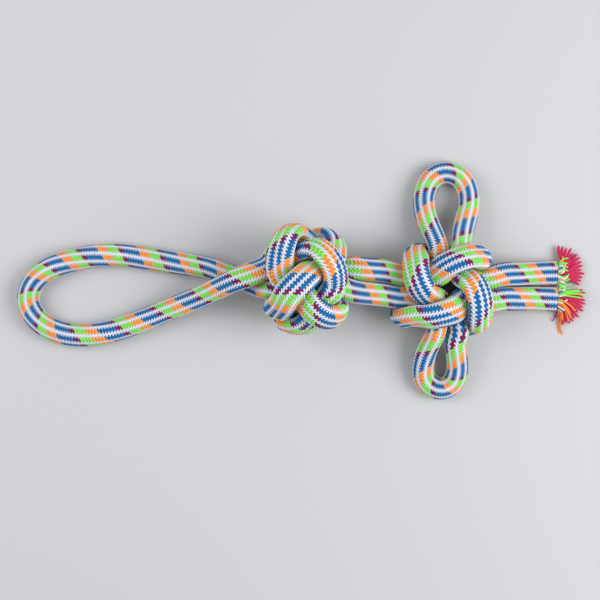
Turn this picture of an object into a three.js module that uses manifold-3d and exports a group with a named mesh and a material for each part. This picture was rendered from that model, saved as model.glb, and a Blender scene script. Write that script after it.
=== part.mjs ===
// Rope dog toy: one braided rope, folded at the handle, tied in a ball knot and in a cross knot.
// The cross knot has two ears, and the rope's two ends hang out of it as frayed tails.
// Lengths are in millimetres and +Z is up. The toy lies on z = 0, handle towards -X and tails towards +X.
// Every table whose name ends in Shares holds multiples of the rope's diameter, and angles in degrees.
import * as THREE from 'three';
import { mergeVertices } from 'three/addons/utils/BufferGeometryUtils.js';
import Module from 'manifold-3d';

const ropeDiameter = 20;
const squeezeShare = 0.455;
const ropeGap = 0.81;
const jointGap = 0.44;
const footShare = 0.4;
const sampleShare = 0.2;
const ringShare = 0.4;
const tangentShare = 0.1;
const ropeSides = 8;
const curveSplits = 24;

// Cut ends of the tails: the bore that the core yarns sit in, their fan, and the loose yarns of the cover.
const coreShare = 0.62;
const boreShare = 0.66;
const boreDepth = 12;
const coreStub = 5;
const coreSides = 12;
const lockRings = 5;
const lockSides = 6;
const fanLocks = 7;
const fanLayerShares = [0.06, -0.14, 0.16];
const fanRaggedShare = 0.12;
const fanBendShare = 0.7;
const fanSwingShare = 0.5;
const fanSpreadShare = 0.4;
const fanStackShare = 0.3;
const fanDropShare = 0.1;
const rootShare = 0.1;
const lockThickShare = 0.15;
const lockThinShare = 0.09;
const upperFan = { from: 78, to: -16, reachShare: 1.28, coverAngles: [42, 66, 90, 114] };
const lowerFan = { from: 16, to: -78, reachShare: 1.28, coverAngles: [66, 90, 114, 138] };
const coverFlareShares = [0.42, 0.6, 0.84];
const coverBendShare = 0.3;
const coverReachShare = 0.5;
const coverDropShare = 0.06;
const coverThickShare = 0.08;
const coverThinShare = 0.045;

// Colours of the cover and of the core yarns, as they read from a step away.
const coverColour = 0x8fb48c;
const coreColour = 0xb3265a;
const coverRoughness = 0.85;
const coreRoughness = 0.8;

// Where the two knots sit.
const ballCentreShares = [0.163, 0.093, 2.3];
const crossCentreShares = [6.772, -0.405, 1.36];

// Handle: from the ball knot out along the upper run, round the far bend, and back along the lower run.
const handleShares = [
  [-3.4, 0.2, 1.2],
  [-4.28, 0.56, 0.82],
  [-5.1, 0.73, 0.58],
  [-5.9, 0.84, 0.45],
  [-7.1, 1.03, 0.4],
  [-8.3, 1.19, 0.4],
  [-9.3, 1.21, 0.4],
  [-10.3, 1.1, 0.4],
  [-11.3, 0.85, 0.4],
  [-12.1, 0.48, 0.4],
  [-12.7, -0.1, 0.4],
  [-12.92, -0.78, 0.4],
  [-12.72, -1.5, 0.4],
  [-12.13, -2.1, 0.4],
  [-11.25, -2.46, 0.4],
  [-10.3, -2.54, 0.4],
  [-9.3, -2.41, 0.4],
  [-8.3, -2.12, 0.42],
  [-7.3, -1.74, 0.5],
  [-6.3, -1.33, 0.68],
  [-5.4, -0.98, 1.0],
  [-4.5, -0.62, 1.48],
  [-3.7, -0.22, 1.98],
];
const neckOutShares = [-2.75, 0.04, 1.72];
const neckBackShares = [-2.95, 0.08, 2.5];

// Ball knot: two strands, each of four legs between two rims round the axis X, over and under by turns.
// Angles turn from +Y towards +Z.
const ballRimShare = 1.34;
const ballRimRadiusShare = 1.36;
const ballWaistRadiusShare = 1.72;
const ballWeaveShare = 0.44;
const legs = 4;
const firstLegShares = [0.3, 0.4, 0.5, 0.6, 0.7, 0.82, 0.92];
const legShares = [0.08, 0.18, ...firstLegShares];

// Way in at the left pole: place along the axis and radius, at each angle of the strand's standing part.
const leadInShares = [
  [-2.15, 0.5],
  [-1.7, 0.56],
  [-1.28, 0.85],
];

// Turn round the standing parts: place along the axis from the wrap, radius, and angle past the last bight.
const wrapShares = [
  [0, 1.25, 4],
  [-0.04, 1.0, 30],
  [0.2, 0.72, 62],
];

// Way out along the axis: place, radius, and share of the turn from the wrap's angle to the strand's port.
const wrapAngle = 74;
const leadOutShares = [
  [-0.7, 0.52, 0.25],
  [-0.1, 0.48, 0.45],
  [0.6, 0.48, 0.7],
  [1.25, 0.48, 0.9],
  [1.9, 0.5, 1],
];

// Each strand's angles at its bights, and how much of the rim's radius and of the weave it takes there.
const ballStrands = [
  {
    standing: [238, 212, 192],
    bights: [168, 270, 435, 526, 672],
    rimShares: [1, 1, 1, 0.93, 1],
    weaveShares: [1, 1, 0.64, 1],
    port: 180,
    wrap: -1.05,
  },
  {
    standing: [52, 30, 10],
    bights: [345, 452, 608, 724, 886],
    rimShares: [1, 1, 1, 0.68, 1],
    weaveShares: [1, 1, 0.95, 0.78],
    port: 345,
    wrap: -1.16,
  },
];

// Cross knot: one arc of the crown, turned a quarter for each of the four.
const arcShares = [
  [-1.9, 0.5, 0.0],
  [-1.15, 0.58, 0.05],
  [-0.35, 0.98, 0.75],
  [0.5, 1.16, 1.0],
  [1.25, 1.4, 0.82],
  [1.68, 1.42, 0.1],
  [1.4, 0.9, -0.75],
  [1.12, 0.1, -1.0],
  [1.0, -0.55, -0.7],
  [0.55, -1.15, -0.05],
  [0.5, -1.85, 0.0],
];
const frontShares = [0, 0, 0.8, 1, 0.5, 0, 0, 0, 0, 0, 0];
const cornerShares = [0, 0, 0, 0.2, 0.8, 1, 0.6, 0.1, 0, 0, 0];
const arcShiftShares = {
  top: { front: [-0.08, -0.08], corner: [-0.42, 0.0] },
  left: { front: [-0.2, 0.0], corner: [-0.2, 0.02] },
  bottom: { front: [-0.2, 0.12], corner: [-0.6, 0.12] },
  right: { front: [-0.16, 0.05], corner: [-0.14, 0.22] },
};

// Waist pair between the knots.
const waistUpperShares = [
  [2.45, 0.52, 2.16],
  [3.1, 0.46, 1.86],
  [3.8, 0.38, 1.55],
];
const waistLowerShares = [
  [2.45, -0.5, 2.16],
  [3.1, -0.55, 1.86],
  [3.8, -0.62, 1.55],
];

// Ears, from the left leg round the tip to the right leg.
const topEarShares = [
  [6.1, 1.95, 1.2],
  [5.78, 2.75, 0.9],
  [5.62, 3.55, 0.6],
  [5.7, 4.25, 0.44],
  [6.04, 4.86, 0.4],
  [6.66, 5.1, 0.4],
  [7.32, 4.86, 0.4],
  [7.68, 4.25, 0.44],
  [7.72, 3.5, 0.6],
  [7.5, 2.7, 0.9],
  [7.3, 1.95, 1.2],
];
const bottomEarShares = [
  [6.0, -2.65, 1.2],
  [5.7, -3.35, 0.86],
  [5.58, -4.0, 0.58],
  [5.68, -4.6, 0.43],
  [6.1, -4.98, 0.4],
  [6.6, -5.02, 0.4],
  [7.02, -4.72, 0.43],
  [7.2, -4.1, 0.58],
  [7.12, -3.4, 0.86],
  [7.02, -2.65, 1.2],
];

// Tails, from the cross knot to the cut of the cover.
const tailUpperShares = [
  [9.2, 0.26, 1.1],
  [9.9, 0.28, 0.82],
  [10.6, 0.32, 0.58],
  [11.25, 0.34, 0.43],
  [11.85, 0.34, 0.4],
];
const tailLowerShares = [
  [9.2, -0.8, 1.1],
  [9.9, -0.8, 0.82],
  [10.6, -0.78, 0.58],
  [11.25, -0.8, 0.43],
  [11.85, -0.82, 0.4],
];

const plus = (a, b) => a.map((v, k) => v + b[k]);
const radians = Math.PI / 180;

// A point of the ball knot from its place along X, its radius and its angle.
function ballPoint(x, radius, angle) {
  const turn = angle * radians;
  return plus(ballCentreShares, [x, radius * Math.cos(turn), radius * Math.sin(turn)]);
}

// One strand of the ball knot: in at the left pole, to and fro between the rims, and out along the axis.
function ballStrand({ standing, bights, rimShares, weaveShares, port, wrap }) {
  const points = leadInShares.map(([along, radius], i) => ballPoint(along, radius, standing[i]));
  for (let leg = 0; leg < legs; leg += 1) {
    const fromLeft = leg % 2 === 0;
    for (const s of leg === 0 ? firstLegShares : legShares) {
      const along = -ballRimShare * Math.cos(Math.PI * s) * (fromLeft ? 1 : -1);
      const swell = (ballWaistRadiusShare - ballRimRadiusShare) * Math.sin(Math.PI * s) ** 2;
      const weave = -ballWeaveShare * weaveShares[leg] * Math.sin(2 * Math.PI * s);
      const rim = ballRimRadiusShare * (rimShares[leg] + (rimShares[leg + 1] - rimShares[leg]) * s);
      const angle = bights[leg] + (bights[leg + 1] - bights[leg]) * s;
      points.push(ballPoint(along, rim + swell + weave, angle));
    }
  }
  const last = bights[legs];
  const inner = last + wrapAngle;
  const exit = port + 360 * Math.round((inner - port) / 360);
  wrapShares.forEach(([along, radius, angle]) => points.push(ballPoint(wrap + along, radius, last + angle)));
  leadOutShares.forEach(([along, radius, turned]) => {
    points.push(ballPoint(along, radius, inner + (exit - inner) * turned));
  });
  return points;
}

// One arc of the cross knot, turned by quarters, its front pushed aside as the tightened crown sits.
function crossArc(quarters, shift) {
  return arcShares.map(([x, y, z], i) => {
    let point = [x, y];
    for (let k = 0; k < quarters; k += 1) point = [-point[1], point[0]];
    const aside = shift.front.map((v, k) => v * frontShares[i] + shift.corner[k] * cornerShares[i]);
    return plus(crossCentreShares, [point[0] + aside[0], point[1] + aside[1], z]);
  });
}

const flip = (list) => [...list].reverse();
const arcs = {
  top: crossArc(0, arcShiftShares.top),
  left: crossArc(1, arcShiftShares.left),
  bottom: crossArc(2, arcShiftShares.bottom),
  right: crossArc(3, arcShiftShares.right),
};

// Pieces of a stretch, each with the share of the stretch's length at which it ends.
const tailPieces = {
  lower: [['tail_lower_end', 0.42], ['tail_lower_root', 1]],
  upper: [['tail_upper_root', 0.58], ['tail_upper_end', 1]],
};
const earPieces = {
  top: [['top_ear_leg_left', 0.3], ['top_ear_tip', 0.7], ['top_ear_leg_right', 1]],
  bottom: [['bottom_ear_leg_right', 0.28], ['bottom_ear_tip', 0.72], ['bottom_ear_leg_left', 1]],
};
const handlePieces = [['handle_run_upper', 0.33], ['handle_bend', 0.67], ['handle_run_lower', 1]];

// The whole rope in order, from the cut of the lower tail to the cut of the upper one.
const stretches = [
  { name: 'tail_lower', kind: 'free', points: flip(tailLowerShares), pieces: tailPieces.lower },
  { name: 'cross_arc_bottom', kind: 'knot', points: arcs.bottom },
  { name: 'top_ear', kind: 'free', points: topEarShares, pieces: earPieces.top },
  { name: 'cross_arc_right', kind: 'knot', points: arcs.right },
  { name: 'waist_lower', kind: 'free', points: flip(waistLowerShares) },
  { name: 'ball_strand_back', kind: 'knot', points: flip(ballStrand(ballStrands[0])) },
  {
    name: 'handle',
    kind: 'free',
    points: [neckOutShares, ...handleShares, neckBackShares],
    pieces: handlePieces,
  },
  { name: 'ball_strand_front', kind: 'knot', points: ballStrand(ballStrands[1]) },
  { name: 'waist_upper', kind: 'free', points: waistUpperShares },
  { name: 'cross_arc_top', kind: 'knot', points: arcs.top },
  { name: 'bottom_ear', kind: 'free', points: flip(bottomEarShares), pieces: earPieces.bottom },
  { name: 'cross_arc_left', kind: 'knot', points: arcs.left },
  { name: 'tail_upper', kind: 'free', points: tailUpperShares, pieces: tailPieces.upper },
];

// Evenly spaced samples of a smooth curve through all way points, each with the index of its stretch.
function sampleRope() {
  const way = [];
  stretches.forEach((stretch, index) => stretch.points.forEach((p) => way.push({ p, index })));
  const dense = [];
  for (let i = 0; i + 1 < way.length; i += 1) {
    const a = way[Math.max(0, i - 1)].p;
    const b = way[i].p;
    const c = way[i + 1].p;
    const d = way[Math.min(way.length - 1, i + 2)].p;
    for (let k = 0; k < curveSplits; k += 1) {
      const t = k / curveSplits;
      const p = b.map((_, m) => 0.5 * (2 * b[m] + (c[m] - a[m]) * t
        + (2 * a[m] - 5 * b[m] + 4 * c[m] - d[m]) * t * t
        + (3 * b[m] - a[m] - 3 * c[m] + d[m]) * t * t * t));
      dense.push({ p, index: t < 0.5 ? way[i].index : way[i + 1].index });
    }
  }
  dense.push(way[way.length - 1]);
  const along = [0];
  for (let i = 1; i < dense.length; i += 1) {
    along.push(along[i - 1] + Math.hypot(...dense[i].p.map((v, m) => v - dense[i - 1].p[m])));
  }
  const total = along[along.length - 1];
  const count = Math.round(total / sampleShare);
  const samples = [];
  let j = 0;
  for (let i = 0; i <= count; i += 1) {
    const target = total * i / count;
    while (j + 2 < along.length && along[j + 1] < target) j += 1;
    const f = (target - along[j]) / (along[j + 1] - along[j]);
    const p = dense[j].p.map((v, m) => v + f * (dense[j + 1].p[m] - v));
    samples.push({ p, index: dense[f < 0.5 ? j : j + 1].index });
  }
  return samples;
}

const samples = sampleRope();
const sampleCount = samples.length;
const inKnot = samples.map(({ index }) => (stretches[index].kind === 'knot' ? 1 : 0));

// Squeeze of the rope in a knot, eased over the neighbouring samples.
const easeSamples = 5;
const grip = inKnot.map((_, i) => {
  let sum = 0;
  for (let k = -easeSamples; k <= easeSamples; k += 1) {
    sum += inKnot[Math.min(sampleCount - 1, Math.max(0, i + k))];
  }
  return sum / (2 * easeSamples + 1);
});
const radiusShares = grip.map((g) => 0.5 + (squeezeShare - 0.5) * g);

// Tightens the knots: strands that touch push each other off, bends stay open, and the rope pulls straight.
const settleRounds = 600;
const looseRounds = 120;
const nearSamples = 8;
const pushShare = 0.2;
const pullShare = 0.1;
const bendSpan = 3;
const bendChordShare = 1.0;
const bendShare = 0.2;
const freeHold = 0.25;
const knotHold = 0.012;
const gripGain = 1.6;
function settle() {
  const x = samples.map(({ p }) => p[0]);
  const y = samples.map(({ p }) => p[1]);
  const z = samples.map(({ p }) => p[2]);
  const home = samples.map(({ p }) => [...p]);
  const hold = grip.map((g) => freeHold + (knotHold - freeHold) * Math.min(1, gripGain * g));
  const gapShare = ropeGap / ropeDiameter;
  for (let round = 0; round < settleRounds; round += 1) {
    const pull = round < settleRounds - looseRounds ? pullShare : 0;
    const dx = new Float64Array(sampleCount);
    const dy = new Float64Array(sampleCount);
    const dz = new Float64Array(sampleCount);
    for (let i = 1; i + 1 < sampleCount; i += 1) {
      dx[i] += pull * ((x[i - 1] + x[i + 1]) / 2 - x[i]);
      dy[i] += pull * ((y[i - 1] + y[i + 1]) / 2 - y[i]);
      dz[i] += pull * ((z[i - 1] + z[i + 1]) / 2 - z[i]);
    }
    for (let i = 0; i + 2 * bendSpan < sampleCount; i += 1) {
      const k = i + 2 * bendSpan;
      const d = Math.hypot(x[k] - x[i], y[k] - y[i], z[k] - z[i]);
      if (d < bendChordShare) {
        const f = bendShare * (bendChordShare - d) / d;
        dx[k] += f * (x[k] - x[i]);
        dy[k] += f * (y[k] - y[i]);
        dz[k] += f * (z[k] - z[i]);
        dx[i] -= f * (x[k] - x[i]);
        dy[i] -= f * (y[k] - y[i]);
        dz[i] -= f * (z[k] - z[i]);
      }
    }
    for (let i = 0; i < sampleCount; i += 1) {
      for (let k = i + nearSamples; k < sampleCount; k += 1) {
        const ax = x[k] - x[i];
        const ay = y[k] - y[i];
        const az = z[k] - z[i];
        const reach = radiusShares[i] + radiusShares[k] + gapShare;
        const d2 = ax * ax + ay * ay + az * az;
        if (d2 < reach * reach) {
          const d = Math.sqrt(d2);
          const f = pushShare * (reach - d) / d;
          dx[k] += f * ax;
          dy[k] += f * ay;
          dz[k] += f * az;
          dx[i] -= f * ax;
          dy[i] -= f * ay;
          dz[i] -= f * az;
        }
      }
    }
    for (let i = 0; i < sampleCount; i += 1) {
      x[i] += dx[i] + (pull > 0 ? hold[i] : 0) * (home[i][0] - x[i]);
      y[i] += dy[i] + (pull > 0 ? hold[i] : 0) * (home[i][1] - y[i]);
      z[i] += dz[i] + (pull > 0 ? hold[i] : 0) * (home[i][2] - z[i]);
      z[i] = Math.max(z[i], footShare);
    }
  }
  return x.map((v, i) => [v, y[i], z[i]]);
}
const line = settle();

// Least gap between two strands of the rope, measured on the samples.
function leastGap() {
  let least = Infinity;
  let pair = '';
  for (let i = 0; i < sampleCount; i += 1) {
    for (let k = i + nearSamples; k < sampleCount; k += 1) {
      const apart = Math.hypot(...line[k].map((v, m) => v - line[i][m]));
      const gap = (apart - radiusShares[i] - radiusShares[k]) * ropeDiameter;
      if (gap < least) {
        least = gap;
        pair = stretches[samples[i].index].name + ' to ' + stretches[samples[k].index].name;
      }
    }
  }
  return least.toFixed(2) + ' mm, ' + pair;
}
console.log('least gap between strands', leastGap());

const alongRope = [0];
for (let i = 1; i < sampleCount; i += 1) {
  const step = Math.hypot(...line[i].map((v, m) => v - line[i - 1][m]));
  alongRope.push(alongRope[i - 1] + ropeDiameter * step);
}
const ropeLength = alongRope[sampleCount - 1];
console.log('rope length', ropeLength.toFixed(0), 'mm');

// Centre, radius and direction of the rope at a length along it.
function ropeAt(s) {
  const place = (length) => {
    let j = 0;
    while (j + 2 < sampleCount && alongRope[j + 1] < length) j += 1;
    const f = (length - alongRope[j]) / (alongRope[j + 1] - alongRope[j]);
    const centre = new THREE.Vector3(...line[j].map((v, m) => v + f * (line[j + 1][m] - v)));
    const radius = radiusShares[j] + f * (radiusShares[j + 1] - radiusShares[j]);
    return { centre: centre.multiplyScalar(ropeDiameter), radius: radius * ropeDiameter };
  };
  const here = place(s);
  const reach = tangentShare * ropeDiameter;
  const ahead = place(Math.min(s + reach, ropeLength)).centre;
  const behind = place(Math.max(s - reach, 0)).centre;
  return { ...here, tangent: ahead.sub(behind).normalize() };
}

// Closed tube through rings, each with a centre, a radius and a direction.
function tube(rings, sides) {
  const positions = [];
  const index = [];
  let side = null;
  rings.forEach(({ centre, radius, tangent }) => {
    if (!side) side = new THREE.Vector3(0, 0, 1).cross(tangent).normalize();
    side.addScaledVector(tangent, -side.dot(tangent)).normalize();
    const up = tangent.clone().cross(side);
    for (let k = 0; k < sides; k += 1) {
      const turn = 2 * Math.PI * (k + 0.5) / sides;
      const v = centre.clone()
        .addScaledVector(side, radius * Math.cos(turn))
        .addScaledVector(up, radius * Math.sin(turn));
      positions.push(v.x, v.y, v.z);
    }
  });
  const last = (rings.length - 1) * sides;
  for (let ring = 0; ring < last; ring += sides) {
    for (let k = 0; k < sides; k += 1) {
      const a = ring + k;
      const b = ring + (k + 1) % sides;
      index.push(a, b, b + sides, a, b + sides, a + sides);
    }
  }
  for (let k = 1; k + 1 < sides; k += 1) {
    index.push(0, k + 1, k);
    index.push(last, last + k, last + k + 1);
  }
  const geometry = new THREE.BufferGeometry();
  geometry.setAttribute('position', new THREE.Float32BufferAttribute(positions, 3));
  geometry.setIndex(index);
  return geometry;
}

// Closed tube of the rope between two lengths along it.
function ropeTube(from, to) {
  const steps = Math.max(2, Math.round((to - from) / (ringShare * ropeDiameter)));
  const rings = Array.from({ length: steps + 1 }, (_, i) => ropeAt(from + (to - from) * i / steps));
  return tube(rings, ropeSides);
}

const wasm = await Module();
wasm.setup();

// three.js geometry as a solid, and back.
function solidOf(geometry) {
  const merged = mergeVertices(geometry.index ? geometry.toNonIndexed() : geometry);
  const bare = new THREE.BufferGeometry().setAttribute('position', merged.getAttribute('position'));
  const welded = mergeVertices(bare.setIndex(merged.index));
  return new wasm.Manifold(new wasm.Mesh({
    numProp: 3,
    vertProperties: new Float32Array(welded.getAttribute('position').array),
    triVerts: new Uint32Array(welded.index.array),
  }));
}

function geometryOf(solid) {
  const mesh = solid.getMesh();
  const geometry = new THREE.BufferGeometry();
  geometry.setAttribute('position', new THREE.Float32BufferAttribute(mesh.vertProperties, 3));
  geometry.setIndex(new THREE.BufferAttribute(mesh.triVerts, 1));
  geometry.computeVertexNormals();
  return geometry;
}

// The surface that the toy lies on: what would sink into it is cut flat.
const groundBox = new THREE.BoxGeometry(ropeLength, ropeLength, 2 * ropeDiameter);
const ground = solidOf(groundBox.translate(0, 0, -ropeDiameter));

// Lengths along the rope where its named pieces begin and end.
const bounds = stretches.map((stretch, index) => {
  const first = samples.findIndex((sample) => sample.index === index);
  const last = samples.findLastIndex((sample) => sample.index === index);
  const from = first === 0 ? 0 : (alongRope[first - 1] + alongRope[first]) / 2;
  const to = last === sampleCount - 1 ? ropeLength : (alongRope[last] + alongRope[last + 1]) / 2;
  return { stretch, from, to };
});

// Half of the face-to-face gap comes off each piece, but not off the two cut ends of the rope.
const pieces = [];
bounds.forEach(({ stretch, from, to }) => {
  let at = from;
  (stretch.pieces ?? [[stretch.name, 1]]).forEach(([name, share]) => {
    const end = from + (to - from) * share;
    pieces.push({
      name,
      from: at === 0 ? 0 : at + jointGap / 2,
      to: end === ropeLength ? end : end - jointGap / 2,
    });
    at = end;
  });
});

// A lock of yarn: a tapered tube bent from its root to its tip, in the frame of the tail's cut.
function lockTube(frame, root, bend, tip, thick, thin) {
  const at = (p) => frame.origin.clone()
    .addScaledVector(frame.along, p[0] * ropeDiameter)
    .addScaledVector(frame.across, p[1] * ropeDiameter)
    .addScaledVector(frame.up, p[2] * ropeDiameter);
  const curve = new THREE.QuadraticBezierCurve3(at(root), at(bend), at(tip));
  const rings = Array.from({ length: lockRings + 1 }, (_, i) => ({
    centre: curve.getPoint(i / lockRings),
    tangent: curve.getTangent(i / lockRings),
    radius: ropeDiameter * (thick + (thin - thick) * i / lockRings),
  }));
  return solidOf(tube(rings, lockSides));
}

// The frame at a tail's cut, with its first axis pointing out of the rope.
function cutFrame(length) {
  const { centre, tangent } = ropeAt(length);
  const along = tangent.clone().multiplyScalar(length === 0 ? -1 : 1);
  const across = new THREE.Vector3(0, 0, 1).cross(along).normalize();
  return { origin: centre, along, across, up: along.clone().cross(across) };
}

// A round bar along the tail, for the core yarns or for the bore they sit in.
function coreBar(frame, from, to, radius) {
  const ring = (x) => ({
    centre: frame.origin.clone().addScaledVector(frame.along, x),
    tangent: frame.along.clone(),
    radius,
  });
  return solidOf(tube([ring(from), ring(to)], coreSides));
}

// Core yarns of one tail: a bar in the cover's bore that opens into a fan of locks.
function coreYarns(frame, fan) {
  const coreRadius = coreShare * ropeDiameter / 2;
  let solid = coreBar(frame, -boreDepth + jointGap, coreStub, coreRadius);
  for (let i = 0; i < fanLocks; i += 1) {
    const f = i / (fanLocks - 1);
    const turn = (fan.from + (fan.to - fan.from) * f) * radians;
    const layer = fanLayerShares[i % fanLayerShares.length];
    const reach = fan.reachShare * (1 - fanRaggedShare * (i % 2));
    const root = [rootShare, fanSpreadShare * coreShare * (1 - 2 * f), fanStackShare * layer];
    const bend = [fanBendShare, fanSwingShare * fanBendShare * Math.sin(turn), layer];
    const tip = [reach * Math.cos(turn), reach * Math.sin(turn), layer - fanDropShare];
    solid = solid.add(lockTube(frame, root, bend, tip, lockThickShare, lockThinShare));
  }
  return solid;
}

// Yarns of the cover that have come loose round the upper half of its cut.
function coverYarns(frame, fan, solid) {
  let frayed = solid;
  fan.coverAngles.forEach((angle) => {
    const c = Math.cos(angle * radians);
    const d = Math.sin(angle * radians);
    const [near, middle, far] = coverFlareShares;
    const root = [-rootShare / 2, near * c, near * d];
    const bend = [coverBendShare, middle * c, middle * d];
    const tip = [coverReachShare, far * c, far * d - coverDropShare];
    frayed = frayed.add(lockTube(frame, root, bend, tip, coverThickShare, coverThinShare));
  });
  return frayed;
}

const toy = new THREE.Group();
toy.name = 'rope_dog_toy';

function addPiece(name, solid, colour, roughness) {
  const material = new THREE.MeshStandardMaterial({ color: colour, roughness, metalness: 0 });
  const mesh = new THREE.Mesh(geometryOf(solid.subtract(ground)), material);
  mesh.name = name;
  toy.add(mesh);
}

const cuts = {
  tail_upper_end: { frame: cutFrame(ropeLength), fan: upperFan, core: 'core_upper' },
  tail_lower_end: { frame: cutFrame(0), fan: lowerFan, core: 'core_lower' },
};
pieces.forEach(({ name, from, to }) => {
  let solid = solidOf(ropeTube(from, to));
  const cut = cuts[name];
  if (cut) {
    solid = coverYarns(cut.frame, cut.fan, solid);
    solid = solid.subtract(coreBar(cut.frame, -boreDepth, 2 * coreStub, boreShare * ropeDiameter / 2));
    addPiece(cut.core, coreYarns(cut.frame, cut.fan), coreColour, coreRoughness);
  }
  addPiece(name, solid, coverColour, coverRoughness);
});

// The origin is under the middle of the toy, on the surface that it lies on.
const middle = new THREE.Box3().setFromObject(toy).getCenter(new THREE.Vector3());
toy.children.forEach((mesh) => mesh.position.set(-middle.x, -middle.y, 0));
console.log('moved to its middle by', (-middle.x).toFixed(3), (-middle.y).toFixed(3), 'mm');

export default toy;
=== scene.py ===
import math
import random

import bpy
import numpy as np
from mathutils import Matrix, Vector


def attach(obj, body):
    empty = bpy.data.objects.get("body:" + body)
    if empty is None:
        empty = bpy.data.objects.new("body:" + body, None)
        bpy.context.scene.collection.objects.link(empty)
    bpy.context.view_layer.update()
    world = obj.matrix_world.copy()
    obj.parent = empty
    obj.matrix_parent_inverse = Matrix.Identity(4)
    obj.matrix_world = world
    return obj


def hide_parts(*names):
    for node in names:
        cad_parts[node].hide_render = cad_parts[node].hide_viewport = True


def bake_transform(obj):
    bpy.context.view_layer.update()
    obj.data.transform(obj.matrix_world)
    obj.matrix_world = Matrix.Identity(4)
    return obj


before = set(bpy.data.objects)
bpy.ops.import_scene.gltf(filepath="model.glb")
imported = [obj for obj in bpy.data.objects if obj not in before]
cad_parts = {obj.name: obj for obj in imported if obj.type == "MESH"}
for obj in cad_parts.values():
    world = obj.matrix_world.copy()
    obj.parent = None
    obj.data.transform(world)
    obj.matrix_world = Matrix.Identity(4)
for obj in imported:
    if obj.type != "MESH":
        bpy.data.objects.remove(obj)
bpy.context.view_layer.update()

# camera, floor and light
cameraValues = {
    "place": (-0.0013, -0.01838, 1.4),
    "lens": 89.0,
    "sensor": 36.0,
    "nearest": 0.05,
    "picture": 600,  # width and height, in pixels
}
floorValues = {"size": 6.0, "colour": (196, 196, 198), "roughness": 0.9, "gloss": 0.1}
lightValues = {
    "skyColour": (0.93, 0.96, 1.0),
    "skyStrength": 0.47,
    "lamps": [  # place, size, watts
        ((-1.25, 0.25, 1.15), 1.1, 14.2),
        ((1.25, -0.1, 1.15), 1.1, 24.0),
    ],
}


def linear(rgb):
    # sRGB numbers of 0 to 255 as Blender's linear colour
    shares = [c / 255 for c in rgb]
    return (*[c / 12.92 if c <= 0.04045 else ((c + 0.055) / 1.055) ** 2.4 for c in shares], 1.0)


scene = bpy.context.scene
scene.view_settings.view_transform = "Standard"

cameraData = bpy.data.cameras.new("camera")
cameraData.lens = cameraValues["lens"]
cameraData.sensor_width = cameraValues["sensor"]
cameraData.clip_start = cameraValues["nearest"]
camera = bpy.data.objects.new("camera", cameraData)
camera.location = cameraValues["place"]
scene.collection.objects.link(camera)
scene.camera = camera

world = bpy.data.worlds.new("studio")
world.use_nodes = True
sky = world.node_tree.nodes["Background"]
sky.inputs["Color"].default_value = (*lightValues["skyColour"], 1)
sky.inputs["Strength"].default_value = lightValues["skyStrength"]
scene.world = world

for number, (place, size, watts) in enumerate(lightValues["lamps"]):
    lampData = bpy.data.lights.new(f"soft_lamp_{number}", "AREA")
    lampData.shape = "SQUARE"
    lampData.size = size
    lampData.energy = watts
    lamp = bpy.data.objects.new(lampData.name, lampData)
    lamp.location = place
    lamp.rotation_euler = (-Vector(place)).to_track_quat("-Z", "Y").to_euler()  # towards the toy
    scene.collection.objects.link(lamp)

floorMaterial = bpy.data.materials.new("pale_floor")
floorMaterial.use_nodes = True
floorShader = floorMaterial.node_tree.nodes["Principled BSDF"]
floorShader.inputs["Base Color"].default_value = linear(floorValues["colour"])
floorShader.inputs["Roughness"].default_value = floorValues["roughness"]
floorShader.inputs["Specular IOR Level"].default_value = floorValues["gloss"]
half = floorValues["size"] / 2
floorMesh = bpy.data.meshes.new("floor")
floorCorners = [(x * half, y * half, 0) for x, y in ((-1, -1), (1, -1), (1, 1), (-1, 1))]
floorMesh.from_pydata(floorCorners, [], [(0, 1, 2, 3)])
floorMesh.materials.append(floorMaterial)
floor = bpy.data.objects.new("floor", floorMesh)
scene.collection.objects.link(floor)
print("camera, floor and light are set")

# the rope's route: its way points in rope diameters, as in part.mjs
ropeValues = {
    "diameter": 0.020,
    "squeeze": 0.455,  # radius in the knots, in diameters
    "shift": (0.002244, -0.00064),  # the part's origin is under its middle
    "wayStep": 0.2,  # between samples of the way points, in diameters
    "ringStep": 0.00048,
    "sides": 80,
    "curveSplits": 24,  # steps between two way points
    "ringSplits": 16,  # steps between two samples
    "gripReach": 5,  # samples over which a knot's hold fades out
    "floorGap": 0.0001,
}
ballCentre = (0.163, 0.093, 2.3)
crossCentre = (6.772, -0.405, 1.36)
neckOut = (-2.75, 0.04, 1.72)
neckBack = (-2.95, 0.08, 2.5)
handleRoute = [
    (-3.4, 0.2, 1.2), (-4.28, 0.56, 0.82), (-5.1, 0.73, 0.58), (-5.9, 0.84, 0.45), (-7.1, 1.03, 0.4),
    (-8.3, 1.19, 0.4), (-9.3, 1.21, 0.4), (-10.3, 1.1, 0.4), (-11.3, 0.85, 0.4), (-12.1, 0.48, 0.4),
    (-12.7, -0.1, 0.4), (-12.92, -0.78, 0.4), (-12.72, -1.5, 0.4), (-12.13, -2.1, 0.4),
    (-11.25, -2.46, 0.4), (-10.3, -2.54, 0.4), (-9.3, -2.41, 0.4), (-8.3, -2.12, 0.42),
    (-7.3, -1.74, 0.5), (-6.3, -1.33, 0.68), (-5.4, -0.98, 1), (-4.5, -0.62, 1.48), (-3.7, -0.22, 1.98),
]
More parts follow.
